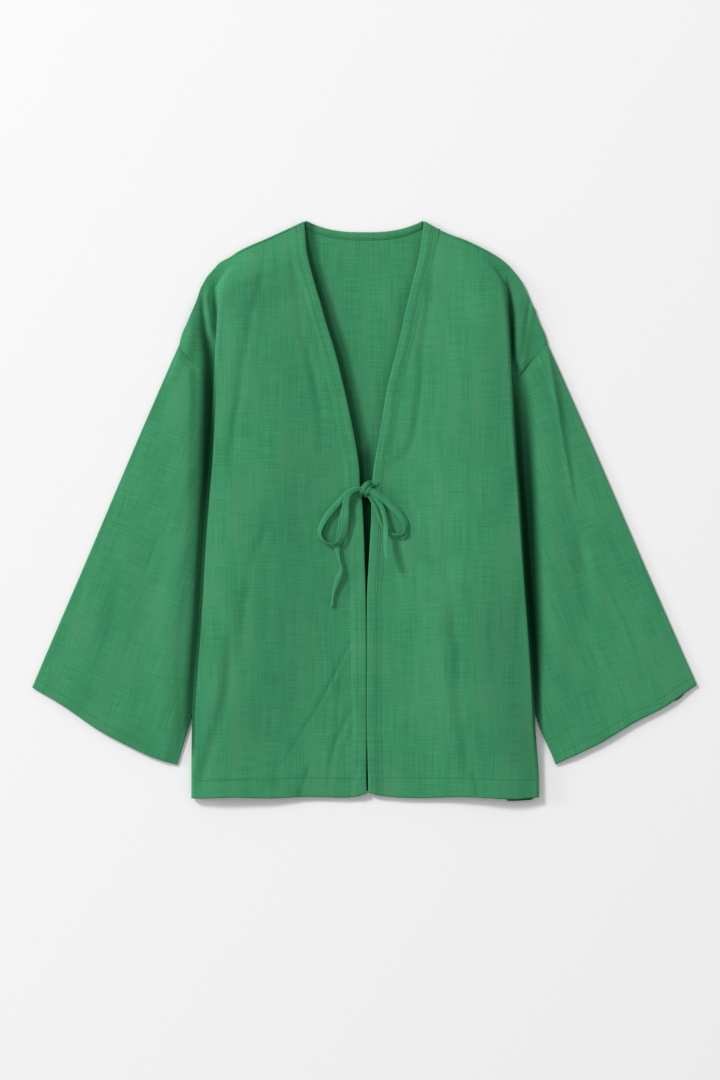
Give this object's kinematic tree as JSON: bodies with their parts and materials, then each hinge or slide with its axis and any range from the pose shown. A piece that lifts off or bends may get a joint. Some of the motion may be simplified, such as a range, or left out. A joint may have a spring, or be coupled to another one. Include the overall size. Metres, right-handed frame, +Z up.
{
  "type": "kimono jacket",
  "caption": "An open-fronted kimono jacket with wide dropped sleeves, laid flat face up with its sides folded under and its fronts tied at the waist in a bow.",
  "frame": {"origin": "on the surface that the jacket lies on, below the middle of its outline", "axes": "+X across the jacket from cuff to cuff, +Y from hem to neck, +Z up from the surface"},
  "size_m": [0.8288, 0.7191, 0.0294],
  "materials": {
    "jacket cloth": "matt plain weave with slubs, linen and viscose, leaf green",
    "band cloth": "the same cloth, folded and stitched in two rows",
    "tie cloth": "the same cloth, folded and sewn to a narrow strip"
  },
  "bodies": {
    "root": {"back": "jacket cloth", "front_left": "jacket cloth", "front_right": "jacket cloth", "sleeve_left": "jacket cloth", "sleeve_right": "jacket cloth", "band_left": "band cloth", "band_right": "band cloth", "band_back_neck": "band cloth", "tie_knot": "tie cloth", "tie_loop_left": "tie cloth", "tie_tail_left": "tie cloth", "tie_loop_right": "tie cloth", "tie_return_right": "tie cloth", "tie_tail_right": "tie cloth", "tie_root_left": "tie cloth", "tie_root_right": "tie cloth"}
  },
  "joints": []
}
